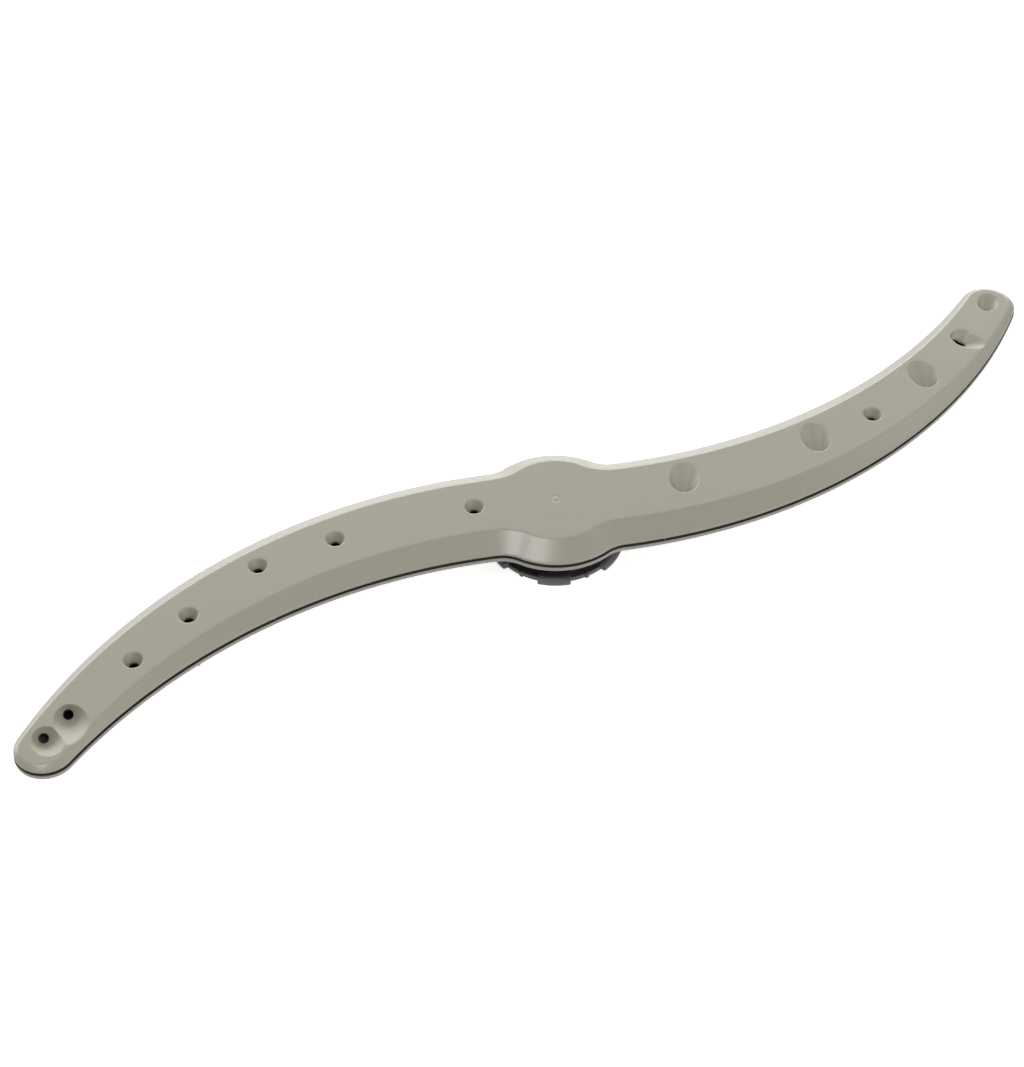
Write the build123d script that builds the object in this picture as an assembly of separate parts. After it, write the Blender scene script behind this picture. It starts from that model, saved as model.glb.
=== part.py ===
from build123d import *
import os
from math import atan2, cos, pi, radians, sin, sqrt, tan

# Dishwasher spray arm: an S-shaped hollow arm, welded from an upper and a lower
# moulded shell, that spins on the sleeve of a ring nut under its hub.
# Millimetres, Z up. The origin is on the spin axis, on the nut's bottom face.
# The right arm runs along +X and bends towards +Y. The left arm is that half
# turned by 180 degrees, apart from its jets.

# Plan of the arm
arc_radius = 225.0          # both long edges of an arm, in plan
arm_width = 45.0            # across the two edges, where they pass the spin axis
tip_radius = 11.6
hub_radius = 30.3
hub_blend_radius = 13.6     # between the hub and the arms' edges

# Heights and section of the two shells
top_height = 6.8            # hub's top face above the weld plane
crown_radius = 6500.0       # the top face is a shallow dome, highest on the spin axis
lip_height = 1.3            # upright edge of the upper shell, above the weld plane
slope_inset = 8.7           # from the rim to the hub's top face, in plan
skirt_depth = 2.3           # upright edge of the lower shell, below the weld plane
tray_depth = 6.9            # underside below the weld plane
tray_inset = 6.5            # from the rim to the flat underside, in plan
wall = 2.0
rim_width = 3.4             # weld land, from the rim to the cavity
groove_height = 1.2         # shadow groove round the weld
groove_depth = 1.2
nib_station = 163.0         # locating nibs under the skirt, along the arm
nib_width = 1.4
nib_height = 1.0

# Jets
hole_radius = 1.9
jet_land = 1.2              # straight length of a jet's hole
jet_wall = 1.2              # moulded round a jet's cup
jet_gap = 0.5               # between a jet's wall and the lower shell, upright
cone_mouth_radius = 3.9     # upright jets
cone_depth = 3.5
cup_reach = 18.0            # leaning cups are cut this far up from their holes, past the top face
twin_depth = 2.3            # hole of the twin jet below the top face
twin_half_angle = 28.0      # each cup of the twin jet, degrees

# Upright jets: side (1 right, -1 left), station along the arm, offset outwards
upright_jets = [
    (1, 139.9, 0.8),
    (-1, 32.0, 0.2),
    (-1, 87.9, 1.5),
    (-1, 119.4, 4.1),
    (-1, 153.6, -0.3),
    (-1, 182.4, -2.0),
]
# Leaning jets: side, station, offset, mouth radius, lean from upright, way it leans, half angle of the cup
leaning_jets = [
    (1, 51.3, 0.4, 5.4, 38.0, 80.0, 28.0),
    (1, 110.6, 1.1, 5.4, 38.0, 95.0, 28.0),
    (1, 171.9, 1.5, 5.4, 38.0, 100.0, 28.0),
    (1, 229.2, -0.7, 3.9, 38.0, 65.0, 28.0),
    (-1, 215.1, 0.4, 5.5, 34.5, -78.0, 40.0),
    (-1, 227.5, 1.8, 5.3, 27.0, -66.0, 40.0),
]
# Twin jet: the place of its hole, and the lean and the way of its two cups
twin_jet_place = (1, 202.1, -3.1)
twin_jet_cups = [(34.0, 30.0), (46.0, -20.0)]

# Ring nut, bush and retaining ring
thread_radius = 15.0        # plain wall that carries the thread
thread_length = 8.0
bore_radius = 13.5          # waterway above the thread
journal_radius = 17.0
running_clearance = 0.05    # journal in bush, on the radius
seat_clearance = 0.05       # bush in the neck, ring in its groove
flange_radius = 25.5        # grip flange at the bottom of the nut
flange_thickness = 1.9
shoulder_radius = 22.0      # step above the flange that the bush runs on
thrust_height = 5.0         # its upper face, above the nut's bottom face
tab_count = 6
tab_turn = -95.0            # direction of the first tab, degrees from +X
tab_radius = 27.4
tab_width = 13.0
tab_height = 2.8
tab_cut = 1.5               # flat cut along a tab's outer top edge, on its top
tab_cut_angle = 45.0        # its fall, degrees
rib_width = 1.6             # small grip ribs between the tabs
rib_proud = 0.7
rib_height = 2.3
bush_wall = 2.0
bush_flange_radius = 21.5
bush_flange_thickness = 1.2
bush_length = 7.6           # overall, from the thrust face up
bush_proud = 0.6            # bush above the neck's inner end
end_play = 0.3              # between the bush and the retaining ring
ring_thickness = 1.2
ring_width = 3.4
ring_groove_depth = 1.0
ring_gap = 8.0              # opening of the split ring
journal_end = 0.9           # sleeve above the retaining ring's groove
neck_wall = 2.5             # round the bush
neck_drop = 0.8             # neck below the flat underside

# Levels that follow from the sizes above
half_width = arm_width / 2
neck_bottom = thrust_height + bush_flange_thickness
seam_height = neck_bottom + neck_drop + tray_depth
rim_top = seam_height + lip_height
tray_bottom = seam_height - tray_depth
tray_floor = tray_bottom + wall
skirt_bottom = seam_height - skirt_depth
hub_top = seam_height + top_height
slope = (top_height - lip_height) / slope_inset
dome_centre = Vector(0, 0, hub_top - crown_radius)
bush_seat_radius = journal_radius + running_clearance + bush_wall
bush_top = thrust_height + bush_length
neck_top = bush_top - bush_proud
ring_bottom = bush_top + end_play
ring_top = ring_bottom + ring_thickness
journal_top = ring_top + journal_end
cut_margin = 1.0            # tools run this far past the faces they cut
crown_margin = 0.3          # slopes run this far past the crown that trims them


def circles_meet(centre_a, reach_a, centre_b, reach_b):
    """The point at reach_a from one centre and reach_b from the other, on the +X side."""
    apart = centre_b - centre_a
    along = (reach_a**2 - reach_b**2 + apart.length**2) / (2 * apart.length)
    across = sqrt(reach_a**2 - along**2)
    unit = apart.normalized()
    normal = Vector(-unit.Y, unit.X)
    points = [centre_a + unit * along + normal * across * sign for sign in (1, -1)]
    return max(points, key=lambda point: point.X)


def outline_arcs():
    """The arm's outline as arcs in order: centre, radius, and 1 where the arm is inside it, else -1."""
    hub = Vector(0, 0)
    outer_edge = Vector(0, arc_radius - half_width)
    inner_edge = Vector(0, arc_radius + half_width)
    tip = circles_meet(outer_edge, arc_radius - tip_radius, inner_edge, arc_radius + tip_radius)
    near_blend = circles_meet(hub, hub_radius + hub_blend_radius, outer_edge, arc_radius + hub_blend_radius)
    far_blend = circles_meet(hub, hub_radius + hub_blend_radius, inner_edge, arc_radius - hub_blend_radius)
    half = [
        (hub, hub_radius, 1),
        (near_blend, hub_blend_radius, -1),
        (outer_edge, arc_radius, 1),
        (tip, tip_radius, 1),
        (inner_edge, arc_radius, -1),
        (far_blend, hub_blend_radius, -1),
    ]
    return half + [(centre * -1, radius, side) for centre, radius, side in half]


def touching_point(arc_a, arc_b):
    """Where two tangent arcs of the outline meet."""
    (centre_a, radius_a, side_a), (centre_b, radius_b, side_b) = arc_a, arc_b
    towards_b = (centre_b - centre_a).normalized()
    if side_a == side_b and radius_a < radius_b:
        towards_b = towards_b * -1
    return centre_a + towards_b * radius_a


def arm_plan(inset):
    """The arm's plan as a face, with its edge moved inwards by inset all round."""
    arcs = [(centre, radius - side * inset, side) for centre, radius, side in outline_arcs()]
    edges = []
    for index, (centre, radius, side) in enumerate(arcs):
        start = touching_point(arcs[index - 1], arcs[index])
        end = touching_point(arcs[index], arcs[(index + 1) % len(arcs)])
        start_angle = atan2(start.Y - centre.Y, start.X - centre.X)
        end_angle = atan2(end.Y - centre.Y, end.X - centre.X)
        turn = (end_angle - start_angle) * side % (2 * pi)
        middle_angle = start_angle + side * turn / 2
        middle = centre + Vector(cos(middle_angle), sin(middle_angle)) * radius
        edges.append(ThreePointArc(start, middle, end))
    return make_face(Wire(edges))


def slab(inset, bottom, top):
    """An upright slice of the arm's plan."""
    return extrude(Pos(0, 0, bottom) * arm_plan(inset), amount=top - bottom)


def sloped(bottom_inset, bottom, top_inset, top):
    """A slice of the arm whose edge leans from one inset to another."""
    lower = Pos(0, 0, bottom) * arm_plan(bottom_inset)
    upper = Pos(0, 0, top) * arm_plan(top_inset)
    return loft([lower, upper], ruled=True)


def dome(lowered):
    """Everything under the top face's dome, with the dome lowered by a wall."""
    return Pos(dome_centre) * Rot(90, 0, 0) * Sphere(crown_radius - lowered)


def on_arm(side, station, offset):
    """Plan position of a point on an arm, by its length along the middle line and offset outwards."""
    turn = station / arc_radius
    reach = arc_radius + offset
    return Vector(side * reach * sin(turn), side * (arc_radius - reach * cos(turn)))


def top_point(side, station, offset):
    """The point of the top face over a place on the arm."""
    place = on_arm(side, station, offset)
    rise = sqrt(crown_radius**2 - place.X**2 - place.Y**2)
    return dome_centre + Vector(place.X, place.Y, rise)


def upright_jet(side, station, offset):
    """Cup and hole of a jet square to the top face, and the moulded wall round them."""
    middle = top_point(side, station, offset)
    mouth = Plane(middle, z_dir=middle - dome_centre)
    top_down = (Align.CENTER, Align.CENTER, Align.MAX)
    flare = (cone_mouth_radius - hole_radius) / cone_depth
    cup = Pos(0, 0, cut_margin) * Cone(
        hole_radius, cone_mouth_radius + flare * cut_margin, cone_depth + cut_margin, align=top_down)
    hole = Cylinder(hole_radius, cone_depth + jet_land + cut_margin, align=top_down)
    boss = Cylinder(cone_mouth_radius, cone_depth + jet_land, align=top_down)
    return mouth * (cup + hole), mouth * boss


def leaning_axis(lean, way):
    """The direction that leans from upright by one angle and heads along another."""
    tilt = radians(lean)
    heading = radians(way)
    return Vector(sin(tilt) * cos(heading), sin(tilt) * sin(heading), cos(tilt))


def leaning_cup(throat, axis, half_angle):
    """Flaring cup and hole along a leaning axis, from the hole's upper end, and the moulded wall round them."""
    flare = tan(radians(half_angle))
    place = Plane(throat, z_dir=axis)
    bottom_up = (Align.CENTER, Align.CENTER, Align.MIN)
    top_down = (Align.CENTER, Align.CENTER, Align.MAX)
    cup = Cone(hole_radius, hole_radius + cup_reach * flare, cup_reach, align=bottom_up)
    hole = Cylinder(hole_radius, jet_land + cut_margin, align=top_down)
    outer_radius = hole_radius + jet_wall
    boss = Pos(0, 0, -jet_land) * Cone(
        outer_radius, outer_radius + cup_reach * flare, jet_land + cup_reach, align=bottom_up)
    return place * (cup + hole), place * boss


def leaning_jet(side, station, offset, mouth_radius, lean, way, half_angle):
    """Cup and hole of a jet whose axis leans over, and the moulded wall round them."""
    axis = leaning_axis(lean, way)
    depth = (mouth_radius - hole_radius) / tan(radians(half_angle))
    return leaning_cup(top_point(side, station, offset) - axis * depth, axis, half_angle)


def twin_jets():
    """Two cups that lean apart from one hole, and the moulded walls round them."""
    throat = top_point(*twin_jet_place) - Vector(0, 0, twin_depth)
    return [leaning_cup(throat, leaning_axis(lean, way), twin_half_angle) for lean, way in twin_jet_cups]


def lower_hollow():
    """The space inside the lower shell."""
    return sloped(tray_inset + wall, tray_floor, rim_width, seam_height)


def upper_shell():
    """Top half of the arm: domed face, sloping edge, lip, hollow underside and jets."""
    rise = top_height - lip_height + crown_margin
    outside = slab(0, seam_height, rim_top) + sloped(0, rim_top, rise / slope, rim_top + rise)
    outside &= dome(0)
    inner_rise = rise - wall
    hollow = slab(rim_width, seam_height, rim_top)
    hollow += sloped(rim_width, rim_top, rim_width + inner_rise / slope, rim_top + inner_rise)
    hollow &= dome(wall)
    groove = slab(-cut_margin, seam_height, seam_height + groove_height / 2)
    groove -= slab(groove_depth, seam_height, seam_height + groove_height / 2)
    jets = [upright_jet(*jet) for jet in upright_jets]
    jets += [leaning_jet(*jet) for jet in leaning_jets]
    jets += twin_jets()
    room = outside + Pos(0, 0, jet_gap) * lower_hollow()
    shell = outside - hollow - groove
    for cup, boss in jets:
        shell += boss & room
    for cup, boss in jets:
        shell -= cup
    return shell


def lower_shell():
    """Bottom half of the arm: upright skirt, sloping sides, flat underside and the neck for the bush."""
    outside = slab(0, skirt_bottom, seam_height) + sloped(tray_inset, tray_bottom, 0, skirt_bottom)
    groove = slab(-cut_margin, seam_height - groove_height / 2, seam_height)
    groove -= slab(groove_depth, seam_height - groove_height / 2, seam_height)
    neck_radius = bush_seat_radius + seat_clearance + neck_wall
    upwards = (Align.CENTER, Align.CENTER, Align.MIN)
    neck = Pos(0, 0, neck_bottom) * Cylinder(neck_radius, neck_top - neck_bottom, align=upwards)
    seat = Pos(0, 0, neck_bottom) * Cylinder(
        bush_seat_radius + seat_clearance, seam_height - neck_bottom, align=upwards)
    shell = outside - lower_hollow() - groove + neck - seat
    for side in (1, -1):
        for edge in (1, -1):
            shell += locating_nib(side, edge)
    return shell


def locating_nib(side, edge):
    """Small nib under the skirt, on the outer (1) or inner (-1) edge of an arm."""
    turn = nib_station / arc_radius
    across = half_width * cos(turn) - groove_depth
    place = on_arm(side, nib_station, edge * across)
    downwards = (Align.CENTER, Align.CENTER, Align.MAX)
    return Pos(place.X, place.Y, skirt_bottom) * Box(nib_width, nib_width, nib_height, align=downwards)


def bearing_bush():
    """Flanged bush in the neck: it turns on the nut's sleeve and carries the arm on its flange."""
    inner = journal_radius + running_clearance
    section = Polyline(
        (inner, thrust_height),
        (bush_flange_radius, thrust_height),
        (bush_flange_radius, neck_bottom),
        (bush_seat_radius, neck_bottom),
        (bush_seat_radius, bush_top),
        (inner, bush_top),
        close=True,
    )
    return revolve(Plane.XZ * make_face(section), Axis.Z)


def retaining_ring():
    """Split ring in the sleeve's groove, which keeps the arm on the nut."""
    inner = journal_radius - ring_groove_depth + seat_clearance
    upwards = (Align.CENTER, Align.CENTER, Align.MIN)
    ring = Cylinder(inner + ring_width, ring_thickness, align=upwards)
    ring -= Cylinder(inner, ring_thickness, align=upwards)
    outwards = (Align.MIN, Align.CENTER, Align.MIN)
    ring -= Box(inner + ring_width + cut_margin, ring_gap, ring_thickness, align=outwards)
    return Pos(0, 0, ring_bottom) * ring


def ring_nut():
    """Grip ring with tabs, threaded inlet and the sleeve that the arm spins on."""
    groove_radius = journal_radius - ring_groove_depth
    section = Polyline(
        (thread_radius, 0),
        (flange_radius, 0),
        (flange_radius, flange_thickness),
        (shoulder_radius, flange_thickness),
        (shoulder_radius, thrust_height),
        (journal_radius, thrust_height),
        (journal_radius, ring_bottom - seat_clearance),
        (groove_radius, ring_bottom - seat_clearance),
        (groove_radius, ring_top + seat_clearance),
        (journal_radius, ring_top + seat_clearance),
        (journal_radius, journal_top),
        (bore_radius, journal_top),
        (bore_radius, thread_length),
        (thread_radius, thread_length),
        close=True,
    )
    nut = revolve(Plane.XZ * make_face(section), Axis.Z)
    upwards = (Align.MAX, Align.CENTER, Align.MIN)
    tab_length = tab_radius - shoulder_radius + cut_margin
    tab = Pos(tab_radius, 0, 0) * Box(tab_length, tab_width, tab_height, align=upwards)
    tab &= Cylinder(tab_radius, tab_height, align=(Align.CENTER, Align.CENTER, Align.MIN))
    over = Box(tab_radius, tab_radius, tab_radius, align=(Align.MIN, Align.CENTER, Align.MIN))
    tab -= Pos(tab_radius - tab_cut, 0, tab_height) * Rot(0, tab_cut_angle, 0) * over
    rib = Pos(flange_radius + rib_proud, 0, 0) * Box(
        rib_proud + cut_margin, rib_width, rib_height, align=upwards)
    pitch = 360 / tab_count
    for index in range(tab_count):
        nut += Rot(0, 0, tab_turn + index * pitch) * tab
        nut += Rot(0, 0, tab_turn + (index + 0.5) * pitch) * rib
    return nut


os.makedirs("parts", exist_ok=True)
for make in (upper_shell, lower_shell, bearing_bush, retaining_ring, ring_nut):
    piece = make()
    export_step(piece, f"parts/{make.__name__}.step")
    print(make.__name__, len(piece.solids()), round(piece.volume), piece.is_valid)
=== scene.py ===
import math

import bmesh
import bpy
import numpy as np
from mathutils import Matrix, Vector
from mathutils.geometry import delaunay_2d_cdt


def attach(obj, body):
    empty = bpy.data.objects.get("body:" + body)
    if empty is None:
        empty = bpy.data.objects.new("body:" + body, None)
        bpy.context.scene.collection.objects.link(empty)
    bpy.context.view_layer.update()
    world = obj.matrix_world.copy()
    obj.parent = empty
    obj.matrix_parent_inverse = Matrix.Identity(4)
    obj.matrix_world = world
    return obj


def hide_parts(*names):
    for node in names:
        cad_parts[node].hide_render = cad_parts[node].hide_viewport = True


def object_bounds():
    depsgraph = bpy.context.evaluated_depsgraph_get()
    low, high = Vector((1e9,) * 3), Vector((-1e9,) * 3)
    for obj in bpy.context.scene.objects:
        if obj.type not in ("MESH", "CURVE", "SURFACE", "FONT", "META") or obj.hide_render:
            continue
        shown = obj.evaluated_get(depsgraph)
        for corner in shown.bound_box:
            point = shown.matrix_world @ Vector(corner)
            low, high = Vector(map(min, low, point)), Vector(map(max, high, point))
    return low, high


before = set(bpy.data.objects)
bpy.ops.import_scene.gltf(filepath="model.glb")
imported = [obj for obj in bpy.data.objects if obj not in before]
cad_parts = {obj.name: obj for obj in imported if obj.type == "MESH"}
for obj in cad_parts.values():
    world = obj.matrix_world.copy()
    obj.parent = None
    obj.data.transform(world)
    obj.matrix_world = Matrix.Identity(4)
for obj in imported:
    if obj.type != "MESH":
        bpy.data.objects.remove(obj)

bl_info = {
    "name": "Dishwasher spray arm",
    "version": (1, 0, 0),
    "blender": (4, 5, 0),
    "location": "3D View > Sidebar > Spray arm",
    "description": "Builds the moulded shells, ring nut and bearing of a dishwasher spray arm",
    "category": "Object",
}

CAD_LOW, CAD_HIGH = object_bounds()
MM = 0.001
FULL_TURN = 2 * math.pi

# Jets by side (1 right, -1 left), station along the arm and offset outwards, in mm.
UPRIGHT_JETS = [
    (1, 139.9, 0.8),
    (-1, 32.0, 0.2),
    (-1, 87.9, 1.5),
    (-1, 119.4, 4.1),
    (-1, 153.6, -0.3),
    (-1, 182.4, -2.0),
]
# Leaning jets also have the mouth's radius, the lean, its way and the cup's half angle.
LEANING_JETS = [
    (1, 51.3, 0.4, 5.4, 38.0, 80.0, 28.0),
    (1, 110.6, 1.1, 5.4, 38.0, 95.0, 28.0),
    (1, 171.9, 1.5, 5.4, 38.0, 100.0, 28.0),
    (1, 229.2, -0.7, 3.9, 38.0, 65.0, 28.0),
    (-1, 215.1, 0.4, 5.5, 34.5, -78.0, 40.0),
    (-1, 227.5, 1.8, 5.3, 27.0, -66.0, 40.0),
]
# The twin jet's two cups, by lean and way, share one hole.
TWIN_PLACE = (1, 202.1, -3.1)
TWIN_CUPS = [(34.0, 30.0), (46.0, -20.0)]

# Steps along the shells' edges, the widest turn in one of them, and steps round the axis.
UPPER_PITCH = 1.3 * MM
LOWER_PITCH = 1.5 * MM
ARC_STEP = 0.06
ROUND_STEPS = 180
NECK_STEPS = 144
# Points each side of a nib, in shares of its width, and the room that they keep, in steps.
NIB_POINTS = (0.0, 0.25, 0.5, 0.75, 1.0, 1.5)
NIB_ROOM = 0.3
# A nib is full up to one share of its width, gone from another, and grows in over these insets.
NIB_FULL, NIB_GONE = 0.25, 0.55
NIB_FADE = (-0.05 * MM, 0.2 * MM)

# Staggered grids of points. Their rows are ROW_SHARE of the spacing apart.
ROW_SHARE = 0.866
TOP_GRID, TOP_GRID_INSET = 3.2 * MM, 4.5 * MM
CEILING_GRID, CEILING_GRID_INSET = 5.0 * MM, 11.0 * MM
TRAY_GRID, TRAY_GRID_INSET = 7.0 * MM, 11.5 * MM
# A row of points inside the edge is left out where it misses its inset by more than this.
ROW_SLACK = 0.05 * MM
# Rows on the slope, in shares of it, over the crease, in half widths of it, and past it, in mm.
SLOPE_ROWS = (0.25, 0.5, 0.75)
CREASE_ROWS = (-1.0, -0.6, -0.2, 0.2, 0.6, 1.0, 2.0)
TOP_ROWS = (1.5, 2.8)
# Rounds of the search for the crease.
CREASE_ROUNDS = 8
# Rings round the cups' mouths, kept this far past the crease, and round the gate mark.
MOUTH_RINGS = (0.35 * MM, 1.0 * MM, 2.0 * MM)
MOUTH_CREASE_GAP = 1.2 * MM
GATE_RINGS = np.arange(0.3, 3.6, 0.3) * MM
GATE_STEPS = 36
# How far other points stay from the mouths and the scooped cups, and the scooped cups' own points
# from their holes and the lip.
MOUTH_GAP, SCOOP_GAP = 0.25 * MM, 0.4 * MM
SCOOP_HOLE_GAP, SCOOP_LIP_GAP = 0.02 * MM, 0.1 * MM
# Rows of the cavity's ceiling, its rings round the jets' ends in mm, and its gap to its border.
CEILING_ROWS = np.arange(4.2, 11.0, 1.2) * MM
EXIT_RINGS = (0.4, 0.9, 1.5, 2.2, 3.0, 4.0, 5.2)
EXIT_GAP = 0.2
BORDER_GAP = 0.5 * MM
# Fall of the lower shell's inner side, which the jets' walls stay above.
TRAY_FALL = 0.96
# Points whose distances to the jets' walls are worked out at one go.
BATCH = 400

# The weld groove's shadow reaches this far above and below it, and is full this far in.
SHADOW_REACH, SHADOW_FADE = 0.3 * MM, 0.2 * MM
# A rounded corner takes at most this share of the sides that meet in it.
CORNER_SHARE = 0.45
# Points in a rounded edge of the shells, the lip's rounding in shares of it, and the neck's.
EDGE_STEPS = 5
LIP_ROUND = 0.8
NECK_ROUND = 0.4 * MM
# The slope starts this many roundings in, and the cavity at this share of the weld land.
SLOPE_START = 3
CAVITY_SHARE = 0.9
# Flat strip along the underside's borders, and how far its other points stay from the neck.
FLAT_STRIP = 0.7 * MM
NECK_GAP = 3.0 * MM
# Halvings of a stretch in the search for a rim.
HALVINGS = 40
# Points of a finished mesh closer than MERGE are one, and its edges are hard past SHARP_TURN.
MERGE = 1e-7
SHARP_TURN = math.radians(40)
BEVEL_TURN = math.radians(25)
# Points of an area closer than this, in mm, are one.
PLAN_MERGE = 1e-5
# A distance beyond all others, and the slack at an arc's end.
FAR, ARC_SLACK = 1e9, 1e-9

# The tabs and ribs end this far above the nut's bottom face, so that no two faces share a plane.
FLUSH_GAP = 0.05 * MM
TAB_STEPS = 13
# The thread's start, the middle of its ridge above that, its crest and its root, in pitches.
THREAD_START, THREAD_MIDDLE, THREAD_CREST, THREAD_ROOT = 0.3, 0.25, 0.22, 0.55
# The ridge goes into the wall, so its section is deeper. Turned by this, its crest is inside.
THREAD_SECTION = 1.2
THREAD_TURN = math.pi / 2
THREAD_STEPS = 96
# Beads of weld flash: places round the weld, the share of them that have a bead, and the seed.
FLASH_PLACES, FLASH_KEPT, FLASH_SEED = 150, 0.16, 4
# Their radius and place in shares of the groove, the least of them, and their fineness.
FLASH_SIZE, FLASH_INSET, FLASH_LEAST, FLASH_LEVELS = 0.42, 0.75, 0.55, 3

# Roughness of the mouldings, and how much rougher the jets' cups are.
UPPER_ROUGHNESS, LOWER_ROUGHNESS, NUT_ROUGHNESS, FLASH_ROUGHNESS = 0.30, 0.40, 0.42, 0.40
CUP_ROUGHNESS = 0.16
# Painted shade, as a share of a plastic's colour, and how far the hollows and the nut's ring of
# painted shadow come to it.
PAINTED_SHADE = 0.05
HOLLOW_PAINTED_SHADE, RING_PAINTED_SHADE = 0.92, 0.8
# The nut's ring of painted shadow starts this far inside the flange's edge, and fades in over these
# lengths.
RING_EDGE = 0.2 * MM
RING_FADE_IN, RING_FADE_UP = 0.4 * MM, 0.2 * MM

# Softboxes by width, height and place, in metres. They face the hub.
SOFTBOXES = {
    "key": (0.6, 0.6, (-0.45, -0.38, 1.45)),
    "back": (4.0, 0.8, (-0.40, 1.70, 0.62)),
    "front": (1.9, 1.9, (1.90, -1.68, 1.15)),
    "side": (1.0, 1.0, (1.75, 0.40, 1.60)),
}
WHITE = (1, 1, 1, 1)
FLOOR_HALF = 2.2
# What the floor adds to its own lit colour where it is looked at.
FLOOR_GLOW = 0.75
CAMERA_CLIP = (0.05, 20.0)


def length(name, description, millimetres):
    """A size that the user may change."""
    return bpy.props.FloatProperty(
        name=name, description=description, default=millimetres * MM,
        subtype="DISTANCE", unit="LENGTH")


def turn(name, description, degrees):
    """An angle that the user may change."""
    return bpy.props.FloatProperty(
        name=name, description=description, default=math.radians(degrees),
        subtype="ANGLE", unit="ROTATION")


def power(name, description, watts):
    """A lamp's power that the user may change."""
    return bpy.props.FloatProperty(name=name, description=description, default=watts, unit="POWER")


def colour(name, description, value):
    """A colour that the user may change."""
    return bpy.props.FloatVectorProperty(
        name=name, description=description, default=value,
        size=3, min=0.0, max=1.0, subtype="COLOR")


class SprayArmSizes(bpy.types.PropertyGroup):
    """Sizes of the two shells and their jets."""

    arc_radius: length("Edge arc", "Both long edges of an arm, in plan", 225.0)
    arm_width: length("Arm width", "Across the two edges, where they pass the spin axis", 45.0)
    tip_radius: length("Tip radius", "Round end of an arm", 11.6)
    hub_radius: length("Hub radius", "Round hub in the middle", 30.3)
    hub_blend_radius: length("Hub blend", "Between the hub and the arms' edges", 13.6)
    seam_height: length("Weld plane", "Height of the weld above the nut's bottom face", 13.9)
    top_height: length("Top height", "Hub's top face above the weld plane", 6.8)
    crown_radius: length("Crown radius", "Dome of the top face", 6500.0)
    lip_height: length("Lip", "Upright edge of the upper shell", 1.3)
    lip_back: length("Lip set back", "From the lower shell's skirt in to the lip, in plan", 0.2)
    slope_inset: length("Slope", "From the rim to the hub's top face, in plan", 8.7)
    crease: length("Crease softness", "How far the top face and the slope melt together", 0.35)
    skirt_depth: length("Skirt", "Upright edge of the lower shell", 2.3)
    tray_depth: length("Tray depth", "Flat underside below the weld plane", 6.9)
    tray_inset: length("Tray inset", "From the rim to the flat underside, in plan", 6.5)
    wall: length("Wall", "Thickness of the shells", 2.0)
    rim_width: length("Weld land", "From the rim to the cavity", 3.4)
    groove_height: length("Groove height", "Shadow groove round the weld", 1.2)
    groove_depth: length("Groove depth", "Shadow groove round the weld", 1.2)
    edge_round: length("Edge rounding", "Rounding of the lip and the skirt", 0.45)
    nib_station: length("Nib station", "Locating nibs under the skirt, along the arm", 163.0)
    nib_width: length("Nib width", "Locating nibs under the skirt", 1.4)
    nib_height: length("Nib height", "Locating nibs under the skirt", 1.0)
    gate_radius: length("Gate mark", "Ring left by the moulding gate on the hub", 1.5)
    gate_line: length("Gate line", "Width of that ring", 0.3)
    gate_depth: length("Gate depth", "Depth of that ring", 0.12)
    hole_radius: length("Jet hole", "Radius of every jet's hole", 1.9)
    jet_land: length("Jet land", "Straight length of a jet's hole", 1.2)
    jet_wall: length("Jet wall", "Moulded round a jet's cup", 1.2)
    jet_gap: length("Jet gap", "Between a jet's wall and the lower shell", 0.5)
    cone_mouth_radius: length("Cup mouth", "Mouth of an upright jet's cup", 3.9)
    cone_depth: length("Cup depth", "Depth of an upright jet's cup", 3.5)
    twin_spread: turn("Twin spread", "Half angle of the twin jet's cups", 28.0)
    twin_depth: length("Twin depth", "Hole of the twin jet below the top face", 2.3)
    rim_round: length("Cup rim", "Rounding of the cups' rims", 0.4)
    ridge_round: length("Cup ridge", "Rounding of the ridges where two cups meet", 0.12)
    neck_radius: length("Neck radius", "Neck under the hub, outside", 21.6)
    neck_bore: length("Neck bore", "Neck under the hub, inside", 19.1)
    neck_bottom: length("Neck bottom", "Lower end of the neck", 6.2)
    neck_top: length("Neck top", "Inner end of the neck", 12.0)


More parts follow.
